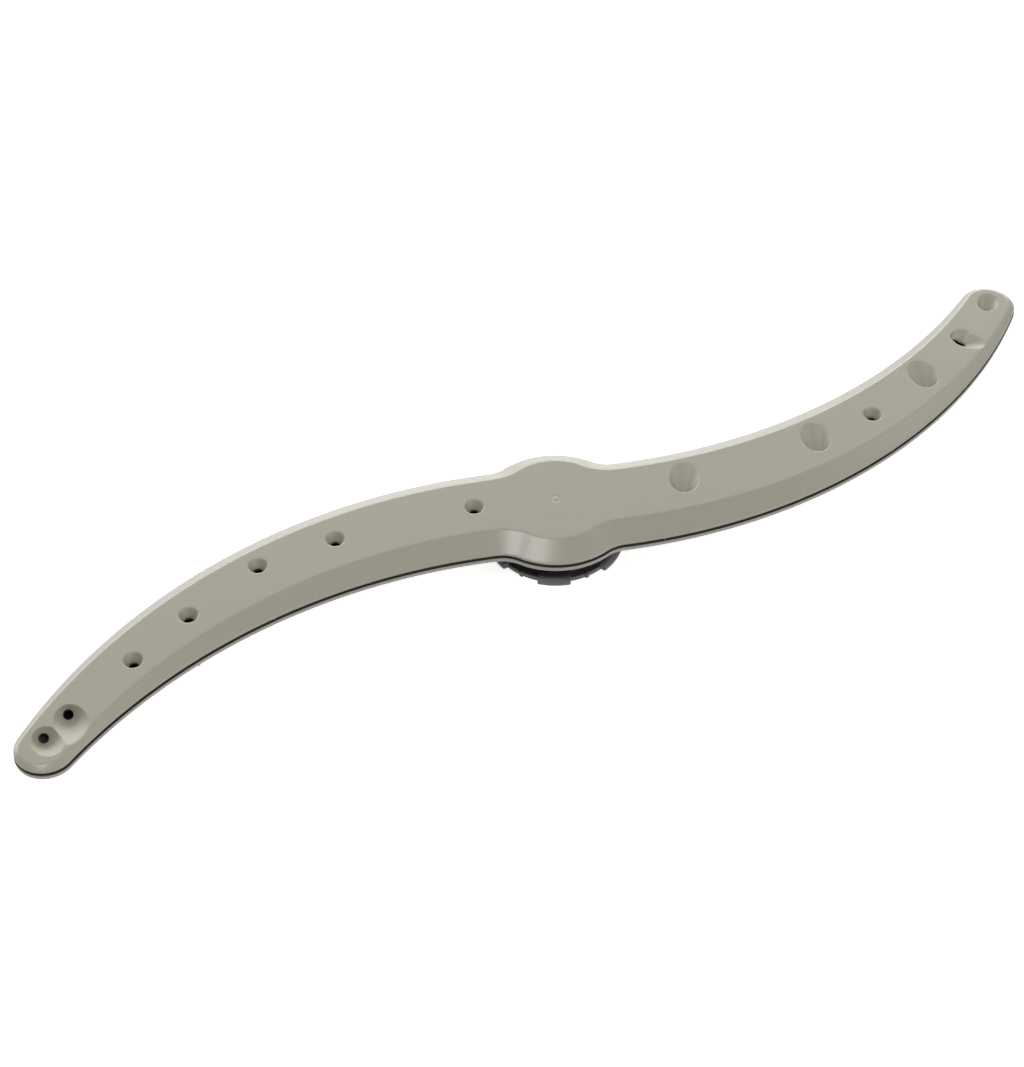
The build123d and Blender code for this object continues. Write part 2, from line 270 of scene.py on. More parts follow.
class SprayArmNut(bpy.types.PropertyGroup):
    """Sizes of the ring nut and the bearing."""

    thread_radius: length("Thread radius", "Plain wall that carries the thread", 15.0)
    thread_length: length("Thread length", "From the nut's bottom face", 8.0)
    thread_pitch: length("Thread pitch", "Rise of the thread in one turn", 3.0)
    thread_depth: length("Thread depth", "Height of the thread's ridge", 1.1)
    bore_radius: length("Bore", "Waterway above the thread", 13.5)
    journal_radius: length("Sleeve radius", "Sleeve that the bush runs on", 17.0)
    journal_top: length("Sleeve top", "Upper end of the sleeve", 15.0)
    groove_radius: length("Ring groove", "Groove of the retaining ring, at its bottom", 16.0)
    groove_bottom: length("Ring groove foot", "Lower side of that groove", 12.85)
    groove_top: length("Ring groove head", "Upper side of that groove", 14.15)
    flange_radius: length("Flange radius", "Grip flange at the bottom", 25.5)
    flange_thickness: length("Flange thickness", "Grip flange at the bottom", 1.9)
    shoulder_radius: length("Shoulder radius", "Between the flange and the bush", 22.0)
    thrust_height: length("Thrust face", "Face that carries the bush", 5.0)
    tab_count: bpy.props.IntProperty(
        name="Tabs", description="Gripping tabs round the flange", default=6)
    tab_turn: turn("Tab turn", "Way of the first tab", -95.0)
    tab_radius: length("Tab radius", "Outer side of the tabs", 27.4)
    tab_width: length("Tab width", "Across a tab", 13.0)
    tab_height: length("Tab height", "From the nut's bottom face", 2.8)
    tab_cut: length("Tab cut", "Flat cut along the outer top edge of a tab", 1.5)
    tab_cut_angle: turn("Tab cut angle", "Fall of that flat cut", 45.0)
    rib_width: length("Rib width", "Small ribs between the tabs", 1.6)
    rib_proud: length("Rib depth", "How far the small ribs stand out of the flange", 0.7)
    rib_height: length("Rib height", "From the nut's bottom face", 2.3)
    edge_round: length("Nut rounding", "Rounding of the nut's edges", 0.3)
    bush_bore: length("Bush bore", "Inside of the bush", 17.05)
    bush_radius: length("Bush radius", "Outside of the bush", 19.05)
    bush_flange_radius: length("Bush flange", "Flange between the nut and the neck", 21.5)
    bush_flange_top: length("Bush flange top", "Upper side of that flange", 6.2)
    bush_top: length("Bush top", "Upper end of the bush", 12.6)


class SprayArmFinish(bpy.types.PropertyGroup):
    """Colours of the mouldings."""

    upper: colour("Upper shell", "Warm grey of the upper moulding", (0.350, 0.332, 0.273))
    lower: colour("Lower shell", "Warm grey of the lower moulding", (0.372, 0.341, 0.306))
    nut: colour("Ring nut", "Dark grey of the nut", (0.120, 0.120, 0.119))
    bush: colour("Bush", "Off-white of the bush", (0.68, 0.66, 0.60))
    ring: colour("Retaining ring", "Stainless steel", (0.60, 0.60, 0.61))
    floor: colour("Floor", "Pale studio floor", (0.90, 0.90, 0.90))


class SprayArmStage(bpy.types.PropertyGroup):
    """Camera and light."""

    elevation: turn("Camera height", "Camera above the horizon", 45.693)
    heading: turn("Camera turn", "Camera round the spin axis", 3.209)
    roll: turn("Camera roll", "Camera about its own line of sight", -0.395)
    distance: length("Camera distance", "To the spin axis, along the line of sight", 1003.9)
    hub_right: length("Hub to the right", "Spin axis to the right of the picture's middle", 17.0)
    hub_up: length("Hub upwards", "Spin axis above the picture's middle", 8.82)
    lens: bpy.props.FloatProperty(
        name="Lens", description="Focal length for a 36 mm tall sensor", default=86.32,
        unit="CAMERA")
    key_power: power("Key light", "Softbox overhead, on the left", 10.2)
    back_power: power("Back light", "Low softbox behind", 50.0)
    front_power: power("Front light", "Softbox in front, on the right", 26.5)
    side_power: power("Side light", "Softbox on the right", 5.2)
    sky: bpy.props.FloatProperty(name="Sky", description="Even light from all round", default=0.09)


def soft_min(a, b, width):
    """The lower of two values, rounded off where they come within width."""
    near = np.maximum(width - np.abs(a - b), 0.0)
    return np.minimum(a, b) - near * near / (4 * width)


def soft_max(a, b, width):
    """The higher of two values, rounded off where they come within width."""
    return -soft_min(-a, -b, width)


def ramp(value, low, high):
    """Smooth step from 0 at low to 1 at high."""
    share = np.clip((value - low) / (high - low), 0.0, 1.0)
    return share * share * (3 - 2 * share)


def circle(steps):
    """Even steps round a circle of radius 1, in plan."""
    angles = np.arange(steps) * FULL_TURN / steps
    return np.stack([np.cos(angles), np.sin(angles)], 1)


def unit(ways):
    """Ways brought to length 1."""
    return ways / np.linalg.norm(ways, axis=1, keepdims=True)


def outward(loop):
    """The way outwards at each point of a closed loop in plan."""
    along = np.roll(loop, -1, 0) - np.roll(loop, 1, 0)
    return unit(np.stack([along[:, 1], -along[:, 0]], 1))


def grown(loop, millimetres):
    """A closed loop in plan, moved away from its middle."""
    return loop + unit(loop - loop.mean(0)) * millimetres * MM


def at_height(places, height):
    """Places in plan as points, all at one height or each at its own."""
    return np.column_stack([places, np.zeros(len(places)) + height])


def round_corner(start, corner, end, steps):
    """Points along the curve that rounds a corner off."""
    shares = np.linspace(0, 1, steps)
    return [(1 - s) ** 2 * start + 2 * s * (1 - s) * corner + s**2 * end for s in shares]


def rounded(points, radius, steps=4):
    """A profile with its inner corners rounded, as a list of pairs."""
    points = [np.array(point, float) for point in points]
    made = [points[0]]
    for before, corner, after in zip(points, points[1:], points[2:]):
        back, ahead = before - corner, after - corner
        reach = min(radius, CORNER_SHARE * np.hypot(*back), CORNER_SHARE * np.hypot(*ahead))
        start = corner + back / np.hypot(*back) * reach
        end = corner + ahead / np.hypot(*ahead) * reach
        made += round_corner(start, corner, end, steps)
    made.append(points[-1])
    return made


def rounded_loop(points, radius):
    """A closed profile with all its corners rounded."""
    middle = (np.array(points[0], float) + np.array(points[-1], float)) / 2
    return rounded([middle, *points, middle], radius)[:-1]


def halved(is_under, low, high, count):
    """Closes in from both ends on where each of some points comes out of a surface."""
    low, high = np.full(count, low), np.full(count, high)
    for _ in range(HALVINGS):
        middle = (low + high) / 2
        under = is_under(middle)
        low, high = np.where(under, middle, low), np.where(under, high, middle)
    return low, high


class Plan:
    """The arm's outline in plan, as arcs that follow each other.

    An arc is its centre, its radius, 1 where the arm is inside it and else -1, its start and sweep.
    """

    def __init__(self, sizes):
        self.sizes = sizes
        half_width = sizes.arm_width / 2
        hub = np.zeros(2)
        outer = np.array([0.0, sizes.arc_radius - half_width])
        inner = np.array([0.0, sizes.arc_radius + half_width])
        big, tip, blend = sizes.arc_radius, sizes.tip_radius, sizes.hub_blend_radius
        tip_centre = self.circles_meet(outer, big - tip, inner, big + tip)
        near_blend = self.circles_meet(hub, sizes.hub_radius + blend, outer, big + blend)
        far_blend = self.circles_meet(hub, sizes.hub_radius + blend, inner, big - blend)
        half = [
            (hub, sizes.hub_radius, 1),
            (near_blend, blend, -1),
            (outer, big, 1),
            (tip_centre, tip, 1),
            (inner, big, -1),
            (far_blend, blend, -1),
        ]
        arcs = half + [(-centre, radius, side) for centre, radius, side in half]
        self.arcs = []
        for index, (centre, radius, side) in enumerate(arcs):
            start = self.touching_point(arcs[index - 1], arcs[index]) - centre
            end = self.touching_point(arcs[index], arcs[(index + 1) % len(arcs)]) - centre
            start_angle = math.atan2(start[1], start[0])
            sweep = (math.atan2(end[1], end[0]) - start_angle) * side % FULL_TURN
            self.arcs.append((centre, radius, side, start_angle, sweep))

    @staticmethod
    def circles_meet(centre_a, reach_a, centre_b, reach_b):
        """The point at reach_a from one centre and reach_b from the other, on the +X side."""
        apart = centre_b - centre_a
        gap = np.hypot(*apart)
        along = (reach_a**2 - reach_b**2 + gap**2) / (2 * gap)
        across = math.sqrt(reach_a**2 - along**2)
        towards_b = apart / gap
        normal = np.array([-towards_b[1], towards_b[0]])
        points = [centre_a + towards_b * along + normal * across * sign for sign in (1, -1)]
        return max(points, key=lambda point: point[0])

    @staticmethod
    def touching_point(arc_a, arc_b):
        """Where two tangent arcs of the outline meet."""
        (centre_a, radius_a, side_a), (centre_b, radius_b, side_b) = arc_a, arc_b
        towards_b = (centre_b - centre_a) / np.hypot(*(centre_b - centre_a))
        if side_a == side_b and radius_a < radius_b:
            towards_b = -towards_b
        return centre_a + towards_b * radius_a

    def walk(self, pitch, nibs=()):
        """Points along the outline and their ways inwards, closer on small arcs and at nibs."""
        points, inwards = [], []
        steps = np.array(NIB_POINTS) * self.sizes.nib_width
        for centre, radius, side, start, sweep in self.arcs:
            local_pitch = min(pitch, ARC_STEP * radius)
            count = max(3, math.ceil(sweep * radius / local_pitch))
            turns = list(np.arange(count) * sweep / count)
            for nib in nibs:
                away = nib - centre
                at = (math.atan2(away[1], away[0]) - start) * side % FULL_TURN
                if at < sweep and abs(np.hypot(*away) - radius) < self.sizes.groove_depth:
                    room = steps[-1] + NIB_ROOM * pitch
                    turns = [t for t in turns if abs(t - at) * radius > room]
                    turns += [at + step * sign / radius for step in steps for sign in (1, -1)]
            angles = start + side * np.array(sorted(set(turns)))
            ways = np.stack([np.cos(angles), np.sin(angles)], 1)
            points.append(centre + ways * radius)
            inwards.append(-side * ways)
        return np.concatenate(points), np.concatenate(inwards)

    def inset(self, places):
        """How far inside the outline each place is. It is negative outside."""
        best = np.full(len(places), FAR)
        for centre, radius, side, start, sweep in self.arcs:
            away = places - centre
            reach = np.hypot(away[:, 0], away[:, 1])
            at = (np.arctan2(away[:, 1], away[:, 0]) - start) * side % FULL_TURN
            distance = side * (radius - reach)
            closer = (at <= sweep + ARC_SLACK) & (np.abs(distance) < np.abs(best))
            best[closer] = distance[closer]
        return best

    def row(self, edge, inwards, inset):
        """The outline's points moved inwards, without those where the moved line would fold."""
        places = edge + inwards * (inset[:, None] if np.ndim(inset) else inset)
        return places[np.abs(self.inset(places) - inset) < ROW_SLACK]

    def grid(self, spacing, least_inset):
        """Places on a staggered grid inside the outline."""
        rows = []
        for index, y in enumerate(np.arange(CAD_LOW.y, CAD_HIGH.y, spacing * ROW_SHARE)):
            x = np.arange(CAD_LOW.x, CAD_HIGH.x, spacing) + (index % 2) * spacing / 2
            rows.append(np.stack([x, np.full(len(x), y)], 1))
        places = np.concatenate(rows)
        return places[self.inset(places) > least_inset]

    def on_arm(self, side, station, offset):
        """A place by its length along an arm's middle line and its offset outwards, in mm."""
        big = self.sizes.arc_radius
        at = station * MM / big
        reach = big + offset * MM
        return np.array([side * reach * math.sin(at), side * (big - reach * math.cos(at))])


class TopFace:
    """Height of the upper shell's outside and ceiling over the plan."""

    def __init__(self, sizes, plan):
        self.sizes = sizes
        self.plan = plan
        self.hub_top = sizes.seam_height + sizes.top_height
        self.rim_top = sizes.seam_height + sizes.lip_height
        self.slope = (sizes.top_height - sizes.lip_height) / sizes.slope_inset
        self.scoops = []

    def dome(self, places, lowered=0.0):
        """Height of the dome, lowered by a wall."""
        big = self.sizes.crown_radius
        centre = self.hub_top - big
        return centre + np.sqrt((big - lowered) ** 2 - (places**2).sum(1))

    def normal(self, place):
        """Square to the dome at a place."""
        big = self.sizes.crown_radius
        return np.array([place[0], place[1], math.sqrt(big**2 - place @ place)]) / big

    def crease_inset(self, places):
        """How far from the rim the slope meets the dome, for places near the crease."""
        return (self.dome(places) - self.rim_top) / self.slope

    def plain(self, places):
        """Height of the top face with its crease and the gate mark, without the scooped cups."""
        sizes = self.sizes
        flank = self.rim_top + self.slope * self.plan.inset(places)
        height = soft_min(self.dome(places), flank, sizes.crease)
        ring = (np.hypot(places[:, 0], places[:, 1]) - sizes.gate_radius) / sizes.gate_line
        return height - sizes.gate_depth * np.exp(-ring * ring)

    @staticmethod
    def scoop_height(scoop, places):
        """Height of a scooped cup's cone, which is open enough to have one height everywhere."""
        apex, axis, spread = scoop
        away = places - apex[:2]
        tight = math.cos(spread) ** 2
        along = away @ axis[:2]
        a = axis[2] ** 2 - tight
        b = along * axis[2]
        c = along**2 - tight * (away**2).sum(1)
        return apex[2] + (np.sqrt(np.maximum(b * b - a * c, 0.0)) - b) / a

    def outside(self, places):
        """Height of the top face with the scooped cups."""
        height = self.plain(places)
        for scoop in self.scoops:
            height = soft_min(height, self.scoop_height(scoop, places), self.sizes.ridge_round)
        return height

    def scooped(self, places, margin):
        """Which places lie in a scooped cup, or where its cone is within a margin above the top."""
        inside = np.zeros(len(places), bool)
        for scoop in self.scoops:
            inside |= self.scoop_height(scoop, places) < self.plain(places) + margin
        return inside

    def ceiling(self, places):
        """Height of the cavity's ceiling without the jets' walls."""
        sizes = self.sizes
        flank = self.rim_top + self.slope * (self.plan.inset(places) - sizes.rim_width)
        return np.minimum(self.dome(places, sizes.wall), flank)


class Cup:
    """Surface of one jet: a rounded rim, a flaring cup of one cone or more, and a hole under it."""

    columns = 80
    rim_rows = 5
    wall_rows = 9
    hole_rows = (0.5, 1.0)
    # How far up the rim is looked for, and where its rounding ends, in shares of the rounding.
    reach = 12 * MM
    rim_drop = 0.8
    # A leaning cup's hole starts lower, by this share of its radius at a lean of this sine.
    foot_drop, foot_sine = 0.13, 0.6
    # How much painted shade the hole's rows get under an upright cup, past this cosine of the lean,
    # and under others.
    upright_cosine = 0.9
    upright_shades, leaning_shades = (0.7, 1.0), (0.0, 0.35)

    def __init__(self, top, throat, axes, spread):
        sizes = top.sizes
        self.throat = throat
        self.axes = axes
        self.spread = spread
        self.ridge = sizes.ridge_round
        mean = sum(axes)
        self.axis = mean / np.linalg.norm(mean)
        self.apexes = [throat - axis * sizes.hole_radius / math.tan(spread) for axis in axes]
        self.headings = at_height(circle(self.columns), 0.0)
        lean_sine = math.sqrt(max(0.0, 1 - self.axis[2] ** 2))
        foot = -self.foot_drop * sizes.hole_radius * lean_sine / self.foot_sine

        def under_top(level):
            point = self.wall_at(level)
            return point[:, 2] < top.outside(point[:, :2])

        rim_level = sum(halved(under_top, foot, self.reach, self.columns)) / 2
        rim = self.wall_at(rim_level)
        self.outwards = outward(rim[:, :2])
        self.mouth = rim[:, :2] + self.outwards * sizes.rim_round
        brim = at_height(self.mouth, top.outside(self.mouth))
        lower_level = rim_level - self.rim_drop * sizes.rim_round
        rows = round_corner(brim, rim, self.wall_at(lower_level), self.rim_rows)
        for share in np.linspace(0, 1, self.wall_rows)[1:]:
            rows.append(self.wall_at(lower_level + share * (foot - lower_level)))
        self.wall = np.concatenate(rows)
        drop = self.axis * sizes.jet_land
        hole = [rows[-1] - drop * share for share in self.hole_rows]
        upright = self.axis[2] > self.upright_cosine
        self.painted_shades = (0.0,) * len(rows) + (self.upright_shades if upright else self.leaning_shades)
        self.rows = rows + hole
        # The first two rows still lie on the rim.
        self.inside = (0.0, 0.0) + (1.0,) * (len(self.rows) - 2)

    def wall_at(self, level):
        """Points on the cup's wall at heights over the throat, one for each heading."""
        start = self.throat + np.outer(level / self.axis[2], self.axis)
        tight = math.cos(self.spread) ** 2
        reach = None
        for apex, axis in zip(self.apexes, self.axes):
            away = start - apex
            up_heading = self.headings @ axis
            up_away = away @ axis
            across = (away * self.headings).sum(1)
            a = up_heading**2 - tight
            b = up_away * up_heading - tight * across
            c = up_away**2 - tight * (away * away).sum(1)
            root = (-b - np.sqrt(np.maximum(b * b - a * c, 0.0))) / a
            reach = root if reach is None else soft_max(reach, root, self.ridge)
        return start + self.headings * reach[:, None]

    def ring(self, distance):
        """The rim's loop in plan, moved outwards."""
        return self.mouth + self.outwards * distance


class ScoopedCup(Cup):
    """A cup with no overhang. Its wall is part of the top face, and its hole has its own rows."""

    wall_rows = 12
    hole_rows = (0.0, 0.06, 1.0)
    reach = 30 * MM
    # Painted shade down the hole's rows.
    painted_shades = (0.0, 0.95, 1.0)
    inside = (1.0, 1.0, 1.0)
    # Rows past the rim, points across a ridge, and tries along a line for that ridge.
    brim_rows = (0.1 * MM, 0.25 * MM, 0.6 * MM, 1.2 * MM)
    ridge_points = np.array([-0.3, -0.12, 0.0, 0.12, 0.3])[:, None] * MM
    ridge_tries = 200

    def __init__(self, top, scoop, throat):
        sizes = top.sizes
        _, axis, spread = scoop
        side = np.cross(axis, [0.0, 1.0, 0.0])
        side /= np.linalg.norm(side)
        ahead = np.cross(axis, side)
        around = circle(self.columns)
        ways = around[:, :1] * side + around[:, 1:] * ahead
        loop = throat + ways * sizes.hole_radius
        slant = ways * math.sin(spread) + axis * math.cos(spread)

        def under_top(level):
            point = loop + slant * level[:, None]
            return point[:, 2] < top.plain(point[:, :2])

        rim, _ = halved(under_top, 0.0, self.reach, self.columns)
        self.rows = [loop - axis * sizes.jet_land * share for share in self.hole_rows]
        self.mouth = loop[:, :2]
        self.outwards = outward(self.mouth)
        shares = np.linspace(0, 1, self.wall_rows + 1)[1:]
        wall = [self.mouth + slant[:, :2] * (rim * share)[:, None] for share in shares]
        brim = [wall[-1] + unit(slant[:, :2]) * past for past in self.brim_rows]
        self.places = np.concatenate(wall + brim + self.ridges(top, scoop, loop, slant, rim))
        wall = np.concatenate(wall)
        self.wall = np.concatenate([loop, self.rows[-1], at_height(wall, top.outside(wall))])

    def ridges(self, top, scoop, loop, slant, ends):
        """Places along and beside the ridges where this cup meets another one."""
        shares = np.linspace(0, 1, self.ridge_tries)
        places = []
        for other in top.scoops:
            if other is scoop:
                continue
            for start, way, end in zip(loop, slant, ends):
                line = start + np.outer(shares * end, way)
                gap = top.scoop_height(other, line[:, :2]) - line[:, 2]
                if gap[-1] < 0 < gap[0]:
                    at = line[np.argmax(gap < 0)]
                    places.append(at[:2] + self.ridge_points * way[:2] / np.linalg.norm(way[:2]))
        return places


def leaning_axis(lean, way):
    """The direction that leans from upright by one angle and heads along another, in degrees."""
    tilt, heading = math.radians(lean), math.radians(way)
    flat = math.sin(tilt)
    return np.array([flat * math.cos(heading), flat * math.sin(heading), math.cos(tilt)])


def all_cups(top):
    """Every jet of the arm."""
    sizes = top.sizes
    cups, throats = [], []

    def mouth_point(side, station, offset):
        place = top.plan.on_arm(side, station, offset)
        return np.append(place, top.dome(place[None])[0])

    upright_spread = math.atan((sizes.cone_mouth_radius - sizes.hole_radius) / sizes.cone_depth)
    for jet in UPRIGHT_JETS:
        mouth = mouth_point(*jet)
        axis = top.normal(mouth[:2])
        cups.append(Cup(top, mouth - axis * sizes.cone_depth, [axis], upright_spread))
    for *jet, radius, lean, way, half_angle in LEANING_JETS:
        axis, spread = leaning_axis(lean, way), math.radians(half_angle)
        throat = mouth_point(*jet) - axis * (radius * MM - sizes.hole_radius) / math.tan(spread)
        if half_angle < lean:
            cups.append(Cup(top, throat, [axis], spread))
        else:
            apex = throat - axis * sizes.hole_radius / math.tan(spread)
            top.scoops.append((apex, axis, spread))
            throats.append(throat)
    throat = mouth_point(*TWIN_PLACE) - np.array([0, 0, sizes.twin_depth])
    cups.append(Cup(top, throat, [leaning_axis(*cup) for cup in TWIN_CUPS], sizes.twin_spread))
    return cups + [ScoopedCup(top, scoop, throat) for scoop, throat in zip(top.scoops, throats)]


class Skin:
    """A mesh that grows by rows of points and by triangulated areas."""

    def __init__(self):
        self.points = []
        # The hollow mark is painted shade; the cup mark makes the plastic rougher.
        self.marks = {"hollow": [], "cup": []}
        self.count = 0
        self.faces = []

    def add(self, points, hollow=0.0, cup=0.0):
        """Adds points and gives their numbers.

        A mark of painted shade is up to 1 inside the hollow arm, its weld groove and the jets'
        holes, and another is 1 in a jet's cup.
        """
        numbers = np.arange(self.count, self.count + len(points))
        self.points.append(np.asarray(points, float))
        self.marks["hollow"].append(np.zeros(len(points)) + hollow)
        self.marks["cup"].append(np.zeros(len(points)) + cup)
        self.count += len(points)
        return numbers

    def lathe(self, profile, steps):
        """Adds rows of points round the spin axis for pairs of radius and height."""
        return [self.add(at_height(circle(steps) * radius, height)) for radius, height in profile]

    def strips(self, rows, closed=False):
        """Quads between each closed row and the next, and where closed, the last and the first."""
        following = rows[1:] + rows[:1] if closed else rows[1:]
        for first, second in zip(rows, following):
            corners = (first, np.roll(first, -1), np.roll(second, -1), second)
            self.faces += np.stack(corners, 1).tolist()

    def fill(self, border, holes, inner):
        """Triangles in plan between the border and the holes, through the inner points."""
        numbers = np.concatenate([border, inner] + holes)
        points = np.concatenate(self.points)[numbers][:, :2]
        order = {int(number): index for index, number in enumerate(numbers)}
        loops = [[order[int(number)] for number in loop] for loop in [border] + holes]
        edges = [edge for loop in loops for edge in zip(loop, loop[1:] + loop[:1])]
        flat = [Vector(point) for point in points / MM]
        _, _, faces, origins, _, _ = delaunay_2d_cdt(flat, edges, [], 0, PLAN_MERGE)
        if not all(origins):
            raise RuntimeError("the outline of an area crosses itself")
        triangles = np.array([[origins[corner][0] for corner in face] for face in faces])
        middles = points[triangles].mean(1)
        inside = self.within(middles, points[loops[0]])
        for loop in loops[1:]:
            inside &= ~self.within(middles, points[loop])
        self.faces += numbers[triangles[inside]].tolist()

    @staticmethod
    def within(places, loop):
        """Which places lie inside a closed loop."""
        inside = np.zeros(len(places), bool)
        x, y = places[:, 0], places[:, 1]
        for (ax, ay), (bx, by) in zip(loop, np.roll(loop, -1, 0)):
            if ay == by:
                continue
            crosses = (ay > y) != (by > y)
            inside ^= crosses & (x < (bx - ax) * (y - ay) / (by - ay) + ax)
        return inside

    def mesh(self, name):
        """The points and faces as a mesh."""
        mesh = bpy.data.meshes.new(name)
        mesh.from_pydata(np.concatenate(self.points).tolist(), [], self.faces)
        return mesh

    def finished(self, name, material):
        """A finished object that carries its marks."""
        mesh = self.mesh(name)
        for label, values in self.marks.items():
            layer = mesh.attributes.new(label, "FLOAT", "POINT")
            layer.data.foreach_set("value", np.concatenate(values))
        return finished_object(mesh, name, material)


def finished_object(mesh, name, material):
    """Puts a closed mesh into the scene, smooth but for its hard edges."""
    work = bmesh.new()
    work.from_mesh(mesh)
    bmesh.ops.remove_doubles(work, verts=work.verts, dist=MERGE)
    loose = [vert for vert in work.verts if not vert.link_faces]
    bmesh.ops.delete(work, geom=loose, context="VERTS")
    bmesh.ops.recalc_face_normals(work, faces=work.faces)
    work.to_mesh(mesh)
    work.free()
    mesh.shade_smooth()
    mesh.set_sharp_from_angle(angle=SHARP_TURN)
    mesh.materials.clear()
    mesh.materials.append(material)
    made = bpy.data.objects.new(name, mesh)
    bpy.context.scene.collection.objects.link(made)
    return made


def clear_of(places, cups, margin):
    """The places that lie outside every cup's mouth by a margin."""
    keep = np.ones(len(places), bool)
    for cup in cups:
        keep &= ~Skin.within(places, cup.ring(margin))
    return places[keep]


def groove_shade(sizes, inset, height):
    """How much painted shadow a place in the weld groove gets, from 0 at its mouth to 1 inside."""
    if abs(height - sizes.seam_height) > sizes.groove_height / 2 + SHADOW_REACH:
        return 0.0
    return min(1.0, inset / SHADOW_FADE)


def joined(name, meshes):
    """Several meshes as one."""
    work = bmesh.new()
    for mesh in meshes:
        work.from_mesh(mesh)
    made = bpy.data.meshes.new(name)
    work.to_mesh(made)
    work.free()
    return made


def bevelled(points, faces, name, radius):
    """A small solid with its hard edges rounded."""
    mesh = bpy.data.meshes.new(name)
    mesh.from_pydata(points, [], faces)
    work = bmesh.new()
    work.from_mesh(mesh)
    bmesh.ops.recalc_face_normals(work, faces=work.faces)
    hard = [edge for edge in work.edges if edge.calc_face_angle(0.0) > BEVEL_TURN]
    bmesh.ops.bevel(
        work, geom=hard, offset=radius, offset_type="OFFSET", segments=3, profile=0.5,
        affect="EDGES", clamp_overlap=True)
    work.to_mesh(mesh)
    work.free()
    return mesh


def operator_pair(operation):
    """A sum on two values, as an operator and as its reflected form."""
    def plain(self, other):
        return self.nodes.node("ShaderNodeMath", {"operation": operation}, {0: self, 1: other})

    def reflected(self, other):
        return self.nodes.node("ShaderNodeMath", {"operation": operation}, {0: other, 1: self})

    return plain, reflected


class Value:
    """A node's socket on which sums can be written."""

    def __init__(self, nodes, socket):
        self.nodes = nodes
        self.socket = socket

    __add__, __radd__ = operator_pair("ADD")
    __sub__, __rsub__ = operator_pair("SUBTRACT")
    __mul__, __rmul__ = operator_pair("MULTIPLY")
    __truediv__, __rtruediv__ = operator_pair("DIVIDE")
    __pow__, __rpow__ = operator_pair("POWER")


class Nodes:
    """A node tree under construction."""

    def __init__(self, tree):
        self.tree = tree

    def node(self, kind, settings=None, sockets=None, output=0):
        """Adds a node: its settings first, then the values or links of its sockets."""
        node = self.tree.nodes.new(kind)
        for name, value in (settings or {}).items():
            setattr(node, name, value)
        for name, value in (sockets or {}).items():
            if isinstance(value, Value):
                self.tree.links.new(value.socket, node.inputs[name])
            else:
                node.inputs[name].default_value = value
        return Value(self, node.outputs[output]) if len(node.outputs) else node


class Recipe(Nodes):
    """A Geometry Nodes tree with named inputs."""

    kinds = {int: "NodeSocketInt", float: "NodeSocketFloat"}

    def __init__(self, name, values):
        super().__init__(bpy.data.node_groups.new(name, "GeometryNodeTree"))
        sockets = self.tree.interface
        for way in ("OUTPUT", "INPUT"):
            sockets.new_socket("Geometry", in_out=way, socket_type="NodeSocketGeometry")
        self.values = values
        for label, value in values.items():
            kind = self.kinds.get(type(value), "NodeSocketMaterial")
            sockets.new_socket(label, in_out="INPUT", socket_type=kind)
        self.inputs = self.tree.nodes.new("NodeGroupInput").outputs

    def given(self, label):
        """One of the tree's inputs."""
        return Value(self, self.inputs[label])

    def made(self, source, geometry):
        """The mesh that the tree makes of a source mesh, in its material and without instances."""
        real = self.node("GeometryNodeRealizeInstances", None, {"Geometry": geometry})
        painted = self.node("GeometryNodeSetMaterial", None, {
            "Geometry": real, "Material": self.given("Material")})
        self.node("NodeGroupOutput", None, {"Geometry": painted})
        holder = bpy.data.objects.new(self.tree.name, source)
        bpy.context.scene.collection.objects.link(holder)
        modifier = holder.modifiers.new(self.tree.name, "NODES")
        modifier.node_group = self.tree
        for item in self.tree.interface.items_tree:
            if item.in_out == "INPUT" and item.name in self.values:
                modifier[item.identifier] = self.values[item.name]
        depsgraph = bpy.context.evaluated_depsgraph_get()
        mesh = bpy.data.meshes.new_from_object(holder.evaluated_get(depsgraph), depsgraph=depsgraph)
        holder.modifiers.remove(modifier)
        bpy.data.objects.remove(holder)
        if not mesh.polygons:
            raise RuntimeError(f"{self.tree.name} made nothing")
        return mesh


def round_the_axis(name, source, count, first, material):
    """Copies of a small mesh at even steps round the spin axis."""
    recipe = Recipe(name, {"Count": count, "First": first, "Material": material})
    points = recipe.node("GeometryNodePoints", None, {"Count": recipe.given("Count")})
    step = FULL_TURN / recipe.given("Count")
    angle = recipe.node("GeometryNodeInputIndex") * step + recipe.given("First")
    turned = recipe.node("ShaderNodeCombineXYZ", None, {"Z": angle})
    copies = recipe.node("GeometryNodeInstanceOnPoints", None, {
        "Points": points, "Instance": recipe.given("Geometry"), "Rotation": turned})
    return recipe.made(source, copies)


